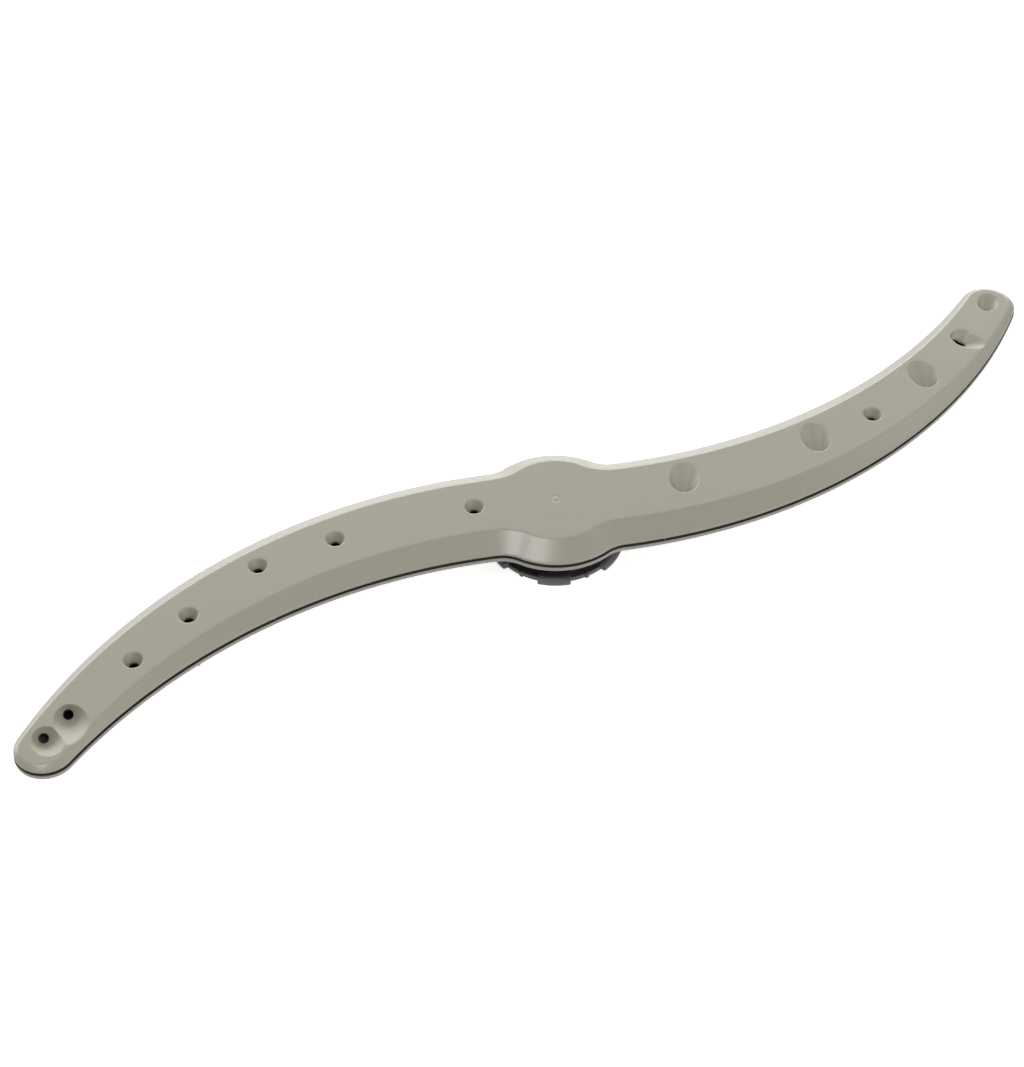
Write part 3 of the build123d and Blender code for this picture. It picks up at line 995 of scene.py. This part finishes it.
class Finish(Nodes):
    """The nodes of a new material, or of a world that is given."""

    def __init__(self, name, world=None):
        self.owner = world or bpy.data.materials.new(name)
        self.owner.use_nodes = True
        super().__init__(self.owner.node_tree)
        self.tree.nodes.clear()

    def place(self):
        """Position on the piece, in metres."""
        return self.node("ShaderNodeTexCoord", output="Object")

    def parts(self, vector):
        """The three numbers of a vector."""
        split = self.node("ShaderNodeSeparateXYZ", None, {0: vector})
        return [Value(self, socket) for socket in split.socket.node.outputs]

    def mark(self, label):
        """A number that the mesh carries."""
        return self.node("ShaderNodeAttribute", {"attribute_name": label}, output=2)

    def noise(self, scale, detail, roughness, vector=None):
        """Noise at a scale, in lumps per metre."""
        return self.node("ShaderNodeTexNoise", None, {
            "Vector": vector or self.place(), "Scale": scale,
            "Detail": detail, "Roughness": roughness})

    def mix(self, factor, first, second):
        """Mixes two colours."""
        return self.node(
            "ShaderNodeMix", {"data_type": "RGBA"}, {0: factor, 6: first, 7: second}, output=2)

    def clamp(self, value):
        """A value kept between 0 and 1."""
        return self.node("ShaderNodeClamp", None, {0: value})

    def bump(self, height, distance, strength):
        """A normal from a height."""
        return self.node("ShaderNodeBump", None, {
            "Height": height, "Distance": distance, "Strength": strength})

    def looked_at(self):
        """1 where the camera, a gloss or a glass looks at it, 0 where it only gives light."""
        rays = self.node("ShaderNodeLightPath").socket.node.outputs
        names = ("Is Camera Ray", "Is Glossy Ray", "Is Transmission Ray")
        camera, gloss, glass = [Value(self, rays[name]) for name in names]
        return self.clamp(camera + gloss + glass)

    def surface(self, sockets):
        """Ends the material in one shader."""
        shader = self.node("ShaderNodeBsdfPrincipled", None, sockets)
        self.node("ShaderNodeOutputMaterial", None, {"Surface": shader})
        return self.owner


def shade(value, factor):
    """A colour made lighter or darker."""
    return tuple(min(1.0, channel * factor) for channel in value) + (1.0,)


def moulded_plastic(name, value, roughness, painted_shadow_ring=None):
    """Satin moulded plastic: faint clouds, flow streaks and a fine grain.

    It has painted shade where the mesh is marked hollow, and is rougher in a cup. A ring of painted
    shadow, by its radius and height, darkens what lies within that radius and above that height.
    """
    finish = Finish(name)
    place = finish.place()
    clouds = finish.noise(scale=22.0, detail=4.0, roughness=0.55)
    stretched = finish.node("ShaderNodeMapping", None, {
        "Vector": place, "Scale": (18.0, 75.0, 75.0)})
    streaks = finish.noise(scale=1.0, detail=3.0, roughness=0.6, vector=stretched)
    tone = clouds * 0.6 + streaks * 0.4
    base = finish.mix(tone, shade(value, 0.97), shade(value, 1.03))
    # Painted shade: the plastic darkened in the arm's hollows, the weld groove and the jets' holes.
    painted_dark = shade(value, PAINTED_SHADE)
    base = finish.mix(finish.mark("hollow") * HOLLOW_PAINTED_SHADE, base, painted_dark)
    # A ring of painted shadow on the nut's flange, under the hub.
    if painted_shadow_ring is not None:
        radius, height = painted_shadow_ring
        x, y, z = finish.parts(place)
        within = finish.clamp((radius - (x * x + y * y) ** 0.5) / RING_FADE_IN)
        above = finish.clamp((z - height) / RING_FADE_UP)
        base = finish.mix(within * above * RING_PAINTED_SHADE, base, painted_dark)
    grain = finish.noise(scale=1500.0, detail=3.0, roughness=0.6)
    waves = finish.noise(scale=60.0, detail=2.0, roughness=0.5)
    uneven = (clouds - 0.5) * 0.04 + (streaks - 0.5) * 0.03
    return finish.surface({
        "Base Color": base,
        "Roughness": roughness + finish.mark("cup") * CUP_ROUGHNESS + uneven,
        "IOR": 1.49,
        "Normal": finish.bump(grain * 0.25 + waves * 0.75, 0.01 * MM, 0.3),
    })


def turned_plastic(name, value):
    """Smooth off-white plastic with faint turning lines."""
    finish = Finish(name)
    height = finish.parts(finish.place())[2]
    fine = finish.node("ShaderNodeCombineXYZ", None, {"Z": height * 5200.0})
    lines = finish.noise(scale=1.0, detail=2.0, roughness=0.6, vector=fine)
    clouds = finish.noise(scale=70.0, detail=3.0, roughness=0.5)
    tone = clouds * 0.7 + lines * 0.3
    return finish.surface({
        "Base Color": finish.mix(tone, shade(value, 0.94), shade(value, 1.05)),
        "Roughness": 0.34 + (lines - 0.5) * 0.16,
        "IOR": 1.48,
        "Normal": finish.bump(lines, 0.02 * MM, 0.4),
    })


def brushed_steel(name, value):
    """Stainless strip with fine lines round the axis."""
    finish = Finish(name)
    x, y, z = finish.parts(finish.place())
    reach = (x * x + y * y) ** 0.5
    fine = finish.node("ShaderNodeCombineXYZ", None, {"X": reach * 9000.0, "Z": z * 6000.0})
    lines = finish.noise(scale=1.0, detail=3.0, roughness=0.7, vector=fine)
    clouds = finish.noise(scale=110.0, detail=3.0, roughness=0.5)
    return finish.surface({
        "Base Color": finish.mix(lines, shade(value, 0.86), shade(value, 1.08)),
        "Metallic": 1.0,
        "Roughness": 0.26 + (clouds - 0.5) * 0.12 + (lines - 0.5) * 0.10,
        "Normal": finish.bump(lines, 0.01 * MM, 0.5),
    })


class SPRAYARM_OT_upper_shell(bpy.types.Operator):
    """Build the upper shell: domed top, soft crease, lip, hollow underside and all the jets."""

    bl_idname = "spray_arm.upper_shell"
    bl_label = "Upper shell"

    def execute(self, context):
        sizes = context.scene.spray_arm_sizes
        plan = Plan(sizes)
        top = TopFace(sizes, plan)
        cups = all_cups(top)
        skin = Skin()
        edge, inwards = plan.walk(UPPER_PITCH)
        seam = sizes.seam_height
        groove_top = seam + sizes.groove_height / 2
        start = SLOPE_START * sizes.edge_round
        lip = rounded([
            (sizes.rim_width, top.rim_top),
            (sizes.rim_width, seam),
            (sizes.groove_depth, seam),
            (sizes.groove_depth, groove_top),
            (sizes.lip_back, groove_top),
            (sizes.lip_back, top.rim_top + top.slope * sizes.lip_back),
            (start, top.rim_top + top.slope * start),
        ], sizes.edge_round * LIP_ROUND, EDGE_STEPS)
        rows = []
        for inset, height in lip:
            # Painted shade fills the cavity and the weld groove's shadow.
            in_cavity = inset > CAVITY_SHARE * sizes.rim_width
            hollow = 1.0 if in_cavity else groove_shade(sizes, inset, height)
            rows.append(skin.add(at_height(edge + inwards * inset, height), hollow))
        skin.strips(rows)
        exits = self.fill_top(skin, top, cups, edge, inwards, rows[-1], start)
        self.fill_ceiling(skin, top, cups, edge, inwards, rows[0], exits)
        colours = context.scene.spray_arm_finish
        plastic = moulded_plastic("grey_upper_moulding", colours.upper, UPPER_ROUGHNESS)
        made = skin.finished("upper_shell_moulding", plastic)
        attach(made, "arm")
        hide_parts("upper_shell")
        return {"FINISHED"}

    def fill_top(self, skin, top, cups, edge, inwards, border, start):
        """Covers the plan inside the lip, round the cups, builds the cups and gives their ends."""
        plan, sizes = top.plan, top.sizes
        mouths, exits = [], []
        for cup in cups:
            # Each cup's rows carry their painted shade and their cup mark.
            rows = [skin.add(*row) for row in zip(cup.rows, cup.painted_shades, cup.inside)]
            skin.strips(rows)
            mouths.append(rows[0])
            exits.append(rows[-1])
        crease = np.full(len(edge), sizes.slope_inset)
        for _ in range(CREASE_ROUNDS):
            crease = top.crease_inset(edge + inwards * crease[:, None])
        half = sizes.crease / top.slope
        insets = [start + (crease - half - start) * share for share in SLOPE_ROWS]
        insets += [crease + half * share for share in CREASE_ROWS]
        insets += [crease + half + step * MM for step in TOP_ROWS]
        places = [plan.row(edge, inwards, inset) for inset in insets]
        for cup in cups:
            for distance in MOUTH_RINGS:
                ring = cup.ring(distance)[::2]
                past_crease = plan.inset(ring) > top.crease_inset(ring) + MOUTH_CREASE_GAP
                places.append(ring[past_crease])
        places += [circle(GATE_STEPS) * radius for radius in GATE_RINGS]
        grid = plan.grid(TOP_GRID, TOP_GRID_INSET)
        places.append(grid[plan.inset(grid) > top.crease_inset(grid) + TOP_GRID_INSET])
        places = clear_of(np.concatenate(places), cups, MOUTH_GAP)
        places = places[~top.scooped(places, SCOOP_GAP)]
        scooped = np.concatenate([cup.places for cup in cups if isinstance(cup, ScoopedCup)])
        scooped = scooped[plan.inset(scooped) > start + SCOOP_LIP_GAP]
        places = np.concatenate([places, clear_of(scooped, cups, SCOOP_HOLE_GAP)])
        in_cup = top.scooped(places, 0.0)
        inner = skin.add(at_height(places, top.outside(places)), 0.0, in_cup)
        skin.fill(border, mouths, inner)
        return exits

    def fill_ceiling(self, skin, top, cups, edge, inwards, border, exits):
        """Closes the underside with a ceiling that hangs down round each jet."""
        plan, sizes = top.plan, top.sizes
        ends = [cup.rows[-1][:, :2] for cup in cups]
        places = [plan.row(edge[::3], inwards[::3], inset) for inset in CEILING_ROWS]
        places += [grown(end, distance)[::2] for end in ends for distance in EXIT_RINGS]
        places.append(plan.grid(CEILING_GRID, CEILING_GRID_INSET))
        places = np.concatenate(places)
        places = places[plan.inset(places) > sizes.rim_width + BORDER_GAP]
        for end in ends:
            places = places[~Skin.within(places, grown(end, EXIT_GAP))]
        height = top.ceiling(places)
        walls = np.concatenate([cup.wall for cup in cups])
        for first in range(0, len(places), BATCH):
            part = slice(first, first + BATCH)
            gap = np.linalg.norm(places[part][:, None] - walls[None, :, :2], axis=2)
            drop = np.sqrt(np.maximum(sizes.jet_wall**2 - gap * gap, 0.0))
            under = np.where(gap < sizes.jet_wall, walls[None, :, 2] - drop, 1.0).min(1)
            height[part] = np.minimum(height[part], under)
        fall = (plan.inset(places) - sizes.rim_width) * TRAY_FALL
        floor = sizes.seam_height - fall + sizes.jet_gap
        height = np.maximum(height, np.minimum(floor, top.rim_top))
        # The ceiling inside the arm is all in painted shade.
        skin.fill(border, exits, skin.add(at_height(places, height), 1.0))


class SPRAYARM_OT_lower_shell(bpy.types.Operator):
    """Build the lower shell: skirt, sloping sides, flat underside, neck and locating nibs."""

    bl_idname = "spray_arm.lower_shell"
    bl_label = "Lower shell"

    def execute(self, context):
        sizes = context.scene.spray_arm_sizes
        plan = Plan(sizes)
        skin = Skin()
        across = sizes.arm_width / 2 * math.cos(sizes.nib_station / sizes.arc_radius)
        nibs = [
            plan.on_arm(side, sizes.nib_station / MM, edge_side * across / MM)
            for side in (1, -1) for edge_side in (1, -1)]
        edge, inwards = plan.walk(LOWER_PITCH, nibs)
        seam, round_ = sizes.seam_height, sizes.edge_round
        groove_bottom = seam - sizes.groove_height / 2
        skirt_bottom = seam - sizes.skirt_depth
        tray_bottom = seam - sizes.tray_depth
        tray_floor = tray_bottom + sizes.wall
        section = rounded([
            (sizes.tray_inset + sizes.wall, tray_floor),
            (sizes.rim_width, seam),
            (sizes.groove_depth, seam),
            (sizes.groove_depth, groove_bottom),
            (0.0, groove_bottom),
            (0.0, skirt_bottom),
            (sizes.tray_inset, tray_bottom),
            (sizes.tray_inset + FLAT_STRIP, tray_bottom),
        ], round_, EDGE_STEPS)
        near = np.min([np.hypot(*(edge - nib).T) for nib in nibs], 0)
        nib_share = 1 - ramp(near, NIB_FULL * sizes.nib_width, NIB_GONE * sizes.nib_width)
        nib_drop = sizes.nib_height * nib_share
        rows = []
        for inset, height in section:
            heights = np.full(len(edge), height)
            if abs(height - skirt_bottom) < round_ and inset < sizes.groove_depth:
                heights = heights - nib_drop * ramp(inset, *NIB_FADE)
            # Painted shade fills the cavity and the weld groove's shadow.
            in_cavity = inset > sizes.rim_width - round_ and height > tray_floor - round_
            hollow = 1.0 if in_cavity else groove_shade(sizes, inset, height)
            rows.append(skin.add(at_height(edge + inwards * inset, heights), hollow))
        skin.strips(rows)
        neck = skin.lathe(rounded([
            (sizes.neck_radius + FLAT_STRIP, tray_bottom),
            (sizes.neck_radius, tray_bottom),
            (sizes.neck_radius, sizes.neck_bottom),
            (sizes.neck_bore, sizes.neck_bottom),
            (sizes.neck_bore, sizes.neck_top),
            (sizes.neck_radius, sizes.neck_top),
            (sizes.neck_radius, tray_floor),
        ], NECK_ROUND), NECK_STEPS)
        skin.strips(neck)
        places = plan.grid(TRAY_GRID, TRAY_GRID_INSET)
        places = places[np.hypot(*places.T) > sizes.neck_radius + NECK_GAP]
        skin.fill(rows[-1], neck[:1], skin.add(at_height(places, tray_bottom)))
        # The tray's inner floor is all in painted shade.
        skin.fill(rows[0], neck[-1:], skin.add(at_height(places, tray_floor), 1.0))
        colours = context.scene.spray_arm_finish
        plastic = moulded_plastic("grey_lower_moulding", colours.lower, LOWER_ROUGHNESS)
        made = skin.finished("lower_shell_moulding", plastic)
        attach(made, "arm")
        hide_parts("lower_shell")
        return {"FINISHED"}


class SPRAYARM_OT_weld_flash(bpy.types.Operator):
    """Build the beads of plastic that the weld has squeezed into its groove."""

    bl_idname = "spray_arm.weld_flash"
    bl_label = "Weld flash"

    def execute(self, context):
        sizes = context.scene.spray_arm_sizes
        edge, inwards = Plan(sizes).walk(LOWER_PITCH)
        line = at_height(edge + inwards * FLASH_INSET * sizes.groove_depth, sizes.seam_height)
        path = bpy.data.meshes.new("weld_path")
        count = len(line)
        path.from_pydata(line.tolist(), [(at, (at + 1) % count) for at in range(count)], [])
        colours = context.scene.spray_arm_finish
        plastic = moulded_plastic("grey_weld_flash", colours.upper, FLASH_ROUGHNESS)
        recipe = Recipe("weld_flash", {
            "Count": FLASH_PLACES, "Kept": FLASH_KEPT, "Size": sizes.groove_height * FLASH_SIZE,
            "Seed": FLASH_SEED, "Material": plastic})
        curve = recipe.node("GeometryNodeMeshToCurve", None, {"Mesh": recipe.given("Geometry")})
        points = recipe.node("GeometryNodeCurveToPoints", {"mode": "COUNT"}, {
            "Curve": curve, "Count": recipe.given("Count")})
        kept = recipe.node("FunctionNodeRandomValue", {"data_type": "BOOLEAN"}, {
            "Probability": recipe.given("Kept"), "Seed": recipe.given("Seed")}, output=3)
        shares = recipe.node("FunctionNodeRandomValue", {"data_type": "FLOAT"}, {
            2: FLASH_LEAST, 3: 1.0, "Seed": recipe.given("Seed")}, output=1)
        bead = recipe.node("GeometryNodeMeshIcoSphere", None, {
            "Radius": recipe.given("Size"), "Subdivisions": FLASH_LEVELS})
        beads = recipe.node("GeometryNodeInstanceOnPoints", None, {
            "Points": points, "Selection": kept, "Instance": bead, "Scale": shares})
        made = finished_object(recipe.made(path, beads), "weld_flash", plastic)
        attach(made, "arm")
        return {"FINISHED"}


class SPRAYARM_OT_ring_nut(bpy.types.Operator):
    """Build the ring nut: flange, sleeve, gripping tabs, small ribs and the thread."""

    bl_idname = "spray_arm.ring_nut"
    bl_label = "Ring nut"

    def execute(self, context):
        nut = context.scene.spray_arm_nut
        # The flange's top under the hub gets a ring of painted shadow.
        plastic = moulded_plastic(
            "dark_nut_moulding", context.scene.spray_arm_finish.nut, NUT_ROUGHNESS,
            painted_shadow_ring=(nut.flange_radius - RING_EDGE, nut.flange_thickness - RING_EDGE))
        skin = Skin()
        profile = rounded_loop([
            (nut.thread_radius, 0.0),
            (nut.flange_radius, 0.0),
            (nut.flange_radius, nut.flange_thickness),
            (nut.shoulder_radius, nut.flange_thickness),
            (nut.shoulder_radius, nut.thrust_height),
            (nut.journal_radius, nut.thrust_height),
            (nut.journal_radius, nut.groove_bottom),
            (nut.groove_radius, nut.groove_bottom),
            (nut.groove_radius, nut.groove_top),
            (nut.journal_radius, nut.groove_top),
            (nut.journal_radius, nut.journal_top),
            (nut.bore_radius, nut.journal_top),
            (nut.bore_radius, nut.thread_length),
            (nut.thread_radius, nut.thread_length),
        ], nut.edge_round)
        skin.strips(skin.lathe(profile, ROUND_STEPS), closed=True)
        first, count = nut.tab_turn, nut.tab_count
        between = first + math.pi / count
        whole = joined("ring_nut_moulding", [
            skin.mesh("nut_body"),
            round_the_axis("nut_tabs", self.tab(nut), count, first, plastic),
            round_the_axis("nut_ribs", self.rib(nut), count, between, plastic),
            self.thread(nut, plastic),
        ])
        made = finished_object(whole, "ring_nut_moulding", plastic)
        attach(made, "nut")
        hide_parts("ring_nut")
        return {"FINISHED"}

    def tab(self, nut):
        """One tab along +X, round outside, with a flat cut along its outer top edge."""
        across = np.linspace(-nut.tab_width / 2, nut.tab_width / 2, TAB_STEPS)
        inner = nut.shoulder_radius - nut.edge_round
        cut_start = nut.tab_radius - nut.tab_cut
        points = []
        for y in across:
            outer = math.sqrt(nut.tab_radius**2 - y * y)
            cut_end = nut.tab_height - (outer - cut_start) * math.tan(nut.tab_cut_angle)
            points += [
                (inner, y, FLUSH_GAP), (outer, y, FLUSH_GAP), (outer, y, cut_end),
                (cut_start, y, nut.tab_height), (inner, y, nut.tab_height)]
        sides = 5
        faces = [tuple(range(sides)), tuple(range(len(points) - sides, len(points)))]
        for row in range(len(across) - 1):
            for side in range(sides):
                a, b = row * sides + side, row * sides + (side + 1) % sides
                faces.append((a, b, b + sides, a + sides))
        return bevelled(points, faces, "nut_tab", nut.edge_round)

    def rib(self, nut):
        """One small rib along +X."""
        inner, outer = nut.flange_radius - 2 * nut.rib_proud, nut.flange_radius + nut.rib_proud
        half = nut.rib_width / 2
        heights = (FLUSH_GAP, nut.rib_height)
        points = [(x, y, z) for x in (inner, outer) for y in (-half, half) for z in heights]
        faces = [
            (0, 1, 3, 2), (4, 6, 7, 5), (0, 4, 5, 1),
            (2, 3, 7, 6), (0, 2, 6, 4), (1, 5, 7, 3)]
        return bevelled(points, faces, "nut_rib", nut.edge_round)

    def thread(self, nut, plastic):
        """The thread's ridge, a trapezium along a right-handed helix."""
        pitch = nut.thread_pitch
        rise = nut.thread_length - pitch
        recipe = Recipe("nut_thread", {
            "Turns": rise / pitch, "Radius": nut.thread_radius - nut.thread_depth / 2,
            "Rise": rise, "Lead in": THREAD_START * pitch + THREAD_MIDDLE * pitch,
            "Depth": nut.thread_depth * THREAD_SECTION, "Crest": pitch * THREAD_CREST,
            "Root": pitch * THREAD_ROOT, "Material": plastic})
        helix = recipe.node("GeometryNodeCurveSpiral", None, {
            "Resolution": THREAD_STEPS, "Rotations": recipe.given("Turns"),
            "Start Radius": recipe.given("Radius"), "End Radius": recipe.given("Radius"),
            "Height": recipe.given("Rise"), "Reverse": True})
        upright = recipe.node("GeometryNodeSetCurveNormal", {"mode": "Z_UP"}, {"Curve": helix})
        section = recipe.node("GeometryNodeCurvePrimitiveQuadrilateral", {"mode": "TRAPEZOID"}, {
            "Height": recipe.given("Depth"), "Bottom Width": recipe.given("Root"),
            "Top Width": recipe.given("Crest"), "Offset": 0.0})
        turned = recipe.node("GeometryNodeTransform", None, {
            "Geometry": section, "Rotation": (0.0, 0.0, THREAD_TURN)})
        ridge = recipe.node("GeometryNodeCurveToMesh", None, {
            "Curve": upright, "Profile Curve": turned, "Fill Caps": True})
        start = recipe.node("ShaderNodeCombineXYZ", None, {"Z": recipe.given("Lead in")})
        lifted = recipe.node("GeometryNodeTransform", None, {
            "Geometry": ridge, "Translation": start})
        return recipe.made(bpy.data.meshes.new("thread_seed"), lifted)


class SPRAYARM_OT_bearing(bpy.types.Operator):
    """Build the flanged bush, and give the retaining ring its steel."""

    bl_idname = "spray_arm.bearing"
    bl_label = "Bush and retaining ring"

    def execute(self, context):
        nut = context.scene.spray_arm_nut
        colours = context.scene.spray_arm_finish
        skin = Skin()
        profile = rounded_loop([
            (nut.bush_bore, nut.thrust_height),
            (nut.bush_flange_radius, nut.thrust_height),
            (nut.bush_flange_radius, nut.bush_flange_top),
            (nut.bush_radius, nut.bush_flange_top),
            (nut.bush_radius, nut.bush_top),
            (nut.bush_bore, nut.bush_top),
        ], nut.edge_round)
        skin.strips(skin.lathe(profile, ROUND_STEPS), closed=True)
        made = skin.finished("bearing_bush_turned", turned_plastic("off_white_bush", colours.bush))
        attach(made, "arm")
        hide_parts("bearing_bush")
        steel = brushed_steel("spring_steel_ring", colours.ring)
        for slot in bpy.data.objects["retaining_ring"].material_slots:
            slot.material = steel
        return {"FINISHED"}


class SPRAYARM_OT_stage(bpy.types.Operator):
    """Set up the floor, the light and the camera."""

    bl_idname = "spray_arm.stage"
    bl_label = "Stage"

    def execute(self, context):
        scene = context.scene
        stage = scene.spray_arm_stage
        self.floor(scene)
        self.light(scene, stage)
        camera = bpy.data.objects.new("camera", bpy.data.cameras.new("camera"))
        scene.collection.objects.link(camera)
        camera.data.lens = stage.lens
        camera.data.clip_start, camera.data.clip_end = CAMERA_CLIP
        rotation = Matrix.Rotation(-stage.heading, 3, "Z")
        rotation = rotation @ Matrix.Rotation(math.pi / 2 - stage.elevation, 3, "X")
        rotation = rotation @ Matrix.Rotation(stage.roll, 3, "Z")
        hub = Vector((0, 0, scene.spray_arm_sizes.seam_height))
        seen_at = Vector((stage.hub_right, stage.hub_up, -stage.distance))
        camera.matrix_world = Matrix.Translation(hub - rotation @ seen_at) @ rotation.to_4x4()
        scene.camera = camera
        scene.view_settings.view_transform = "Standard"
        return {"FINISHED"}

    def floor(self, scene):
        """A wide pale floor, white to the camera, that keeps the shadow."""
        mesh = bpy.data.meshes.new("studio_floor")
        half = FLOOR_HALF
        corners = [(-half, -half, 0), (half, -half, 0), (half, half, 0), (-half, half, 0)]
        mesh.from_pydata(corners, [], [(0, 1, 2, 3)])
        floor = bpy.data.objects.new("studio_floor", mesh)
        scene.collection.objects.link(floor)
        finish = Finish("pale_floor")
        glow = finish.node("ShaderNodeEmission", None, {
            "Color": WHITE, "Strength": finish.looked_at() * FLOOR_GLOW})
        paper = finish.node("ShaderNodeBsdfDiffuse", None, {
            "Color": (*scene.spray_arm_finish.floor, 1)})
        both = finish.node("ShaderNodeAddShader", None, {0: glow, 1: paper})
        finish.node("ShaderNodeOutputMaterial", None, {"Surface": both})
        mesh.materials.append(finish.owner)

    def light(self, scene, stage):
        """An even sky, white where it is looked at, and the softboxes."""
        scene.world = bpy.data.worlds.new("studio")
        sky = Finish("studio", scene.world)
        strength = stage.sky + sky.looked_at() * (1.0 - stage.sky)
        background = sky.node("ShaderNodeBackground", None, {"Color": WHITE, "Strength": strength})
        sky.node("ShaderNodeOutputWorld", None, {"Surface": background})
        for name, (width, height, place) in SOFTBOXES.items():
            lamp = bpy.data.lights.new(f"{name}_softbox", "AREA")
            lamp.shape = "RECTANGLE"
            lamp.size, lamp.size_y = width, height
            lamp.energy = getattr(stage, f"{name}_power")
            holder = bpy.data.objects.new(lamp.name, lamp)
            scene.collection.objects.link(holder)
            holder.location = place
            holder.rotation_euler = (-Vector(place)).to_track_quat("-Z", "Y").to_euler()


class SPRAYARM_PT_panel(bpy.types.Panel):
    """Steps, sizes, colours and stage of the spray arm."""

    bl_label = "Spray arm"
    bl_idname = "SPRAYARM_PT_panel"
    bl_space_type = "VIEW_3D"
    bl_region_type = "UI"
    bl_category = "Spray arm"

    def draw(self, context):
        for kind in STEPS:
            self.layout.operator(kind.bl_idname)
        for group in GROUPS:
            box = self.layout.box()
            settings = getattr(context.scene, group)
            for name in settings.__annotations__:
                box.prop(settings, name)


STEPS = (
    SPRAYARM_OT_upper_shell,
    SPRAYARM_OT_lower_shell,
    SPRAYARM_OT_weld_flash,
    SPRAYARM_OT_ring_nut,
    SPRAYARM_OT_bearing,
    SPRAYARM_OT_stage,
)
GROUPS = {
    "spray_arm_sizes": SprayArmSizes,
    "spray_arm_nut": SprayArmNut,
    "spray_arm_finish": SprayArmFinish,
    "spray_arm_stage": SprayArmStage,
}
CLASSES = (*GROUPS.values(), *STEPS, SPRAYARM_PT_panel)


def register():
    """Make the classes known to Blender, and give each scene their settings."""
    for kind in CLASSES:
        bpy.utils.register_class(kind)
    for name, kind in GROUPS.items():
        setattr(bpy.types.Scene, name, bpy.props.PointerProperty(type=kind))


def unregister():
    """Take the settings and the classes out again."""
    for name in GROUPS:
        delattr(bpy.types.Scene, name)
    for kind in reversed(CLASSES):
        bpy.utils.unregister_class(kind)


def main():
    """Build the spray arm and its stage."""
    register()
    bpy.ops.spray_arm.upper_shell()
    bpy.ops.spray_arm.lower_shell()
    bpy.ops.spray_arm.weld_flash()
    bpy.ops.spray_arm.ring_nut()
    bpy.ops.spray_arm.bearing()
    bpy.ops.spray_arm.stage()


if __name__ == "__main__":
    main()
